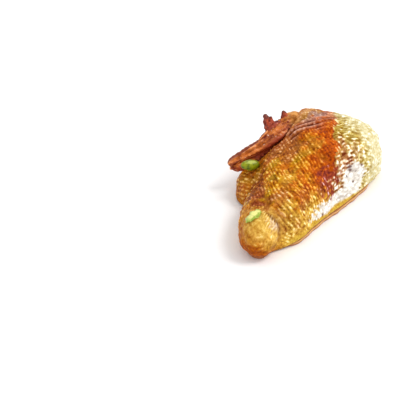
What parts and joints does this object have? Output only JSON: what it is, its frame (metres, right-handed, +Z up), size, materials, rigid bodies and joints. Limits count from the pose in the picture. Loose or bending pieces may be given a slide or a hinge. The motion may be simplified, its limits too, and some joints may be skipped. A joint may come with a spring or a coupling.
{
  "type": "half roast duck",
  "caption": "Half of a roast duck lying on its cut side, with folded wing, knee end of the leg and crisp pored skin.",
  "frame": {"origin": "bottom centre of the whole piece, on the surface it lies on", "axes": "+X from the knee of the leg to the blunt front of the breast, +Y from the cut breastbone edge to the back where the wing is folded, +Z up"},
  "size_m": [0.2404, 0.1262, 0.078],
  "materials": {
    "roast_skin": "crisp roast skin, golden to deep brown, with a thin film of fat",
    "green_bean": "moist cooked green bean",
    "pale_pepper": "moist pale green pepper"
  },
  "bodies": {
    "root": {"duck": "roast_skin", "green_bean": "green_bean", "pepper_slice": "pale_pepper"}
  },
  "joints": []
}
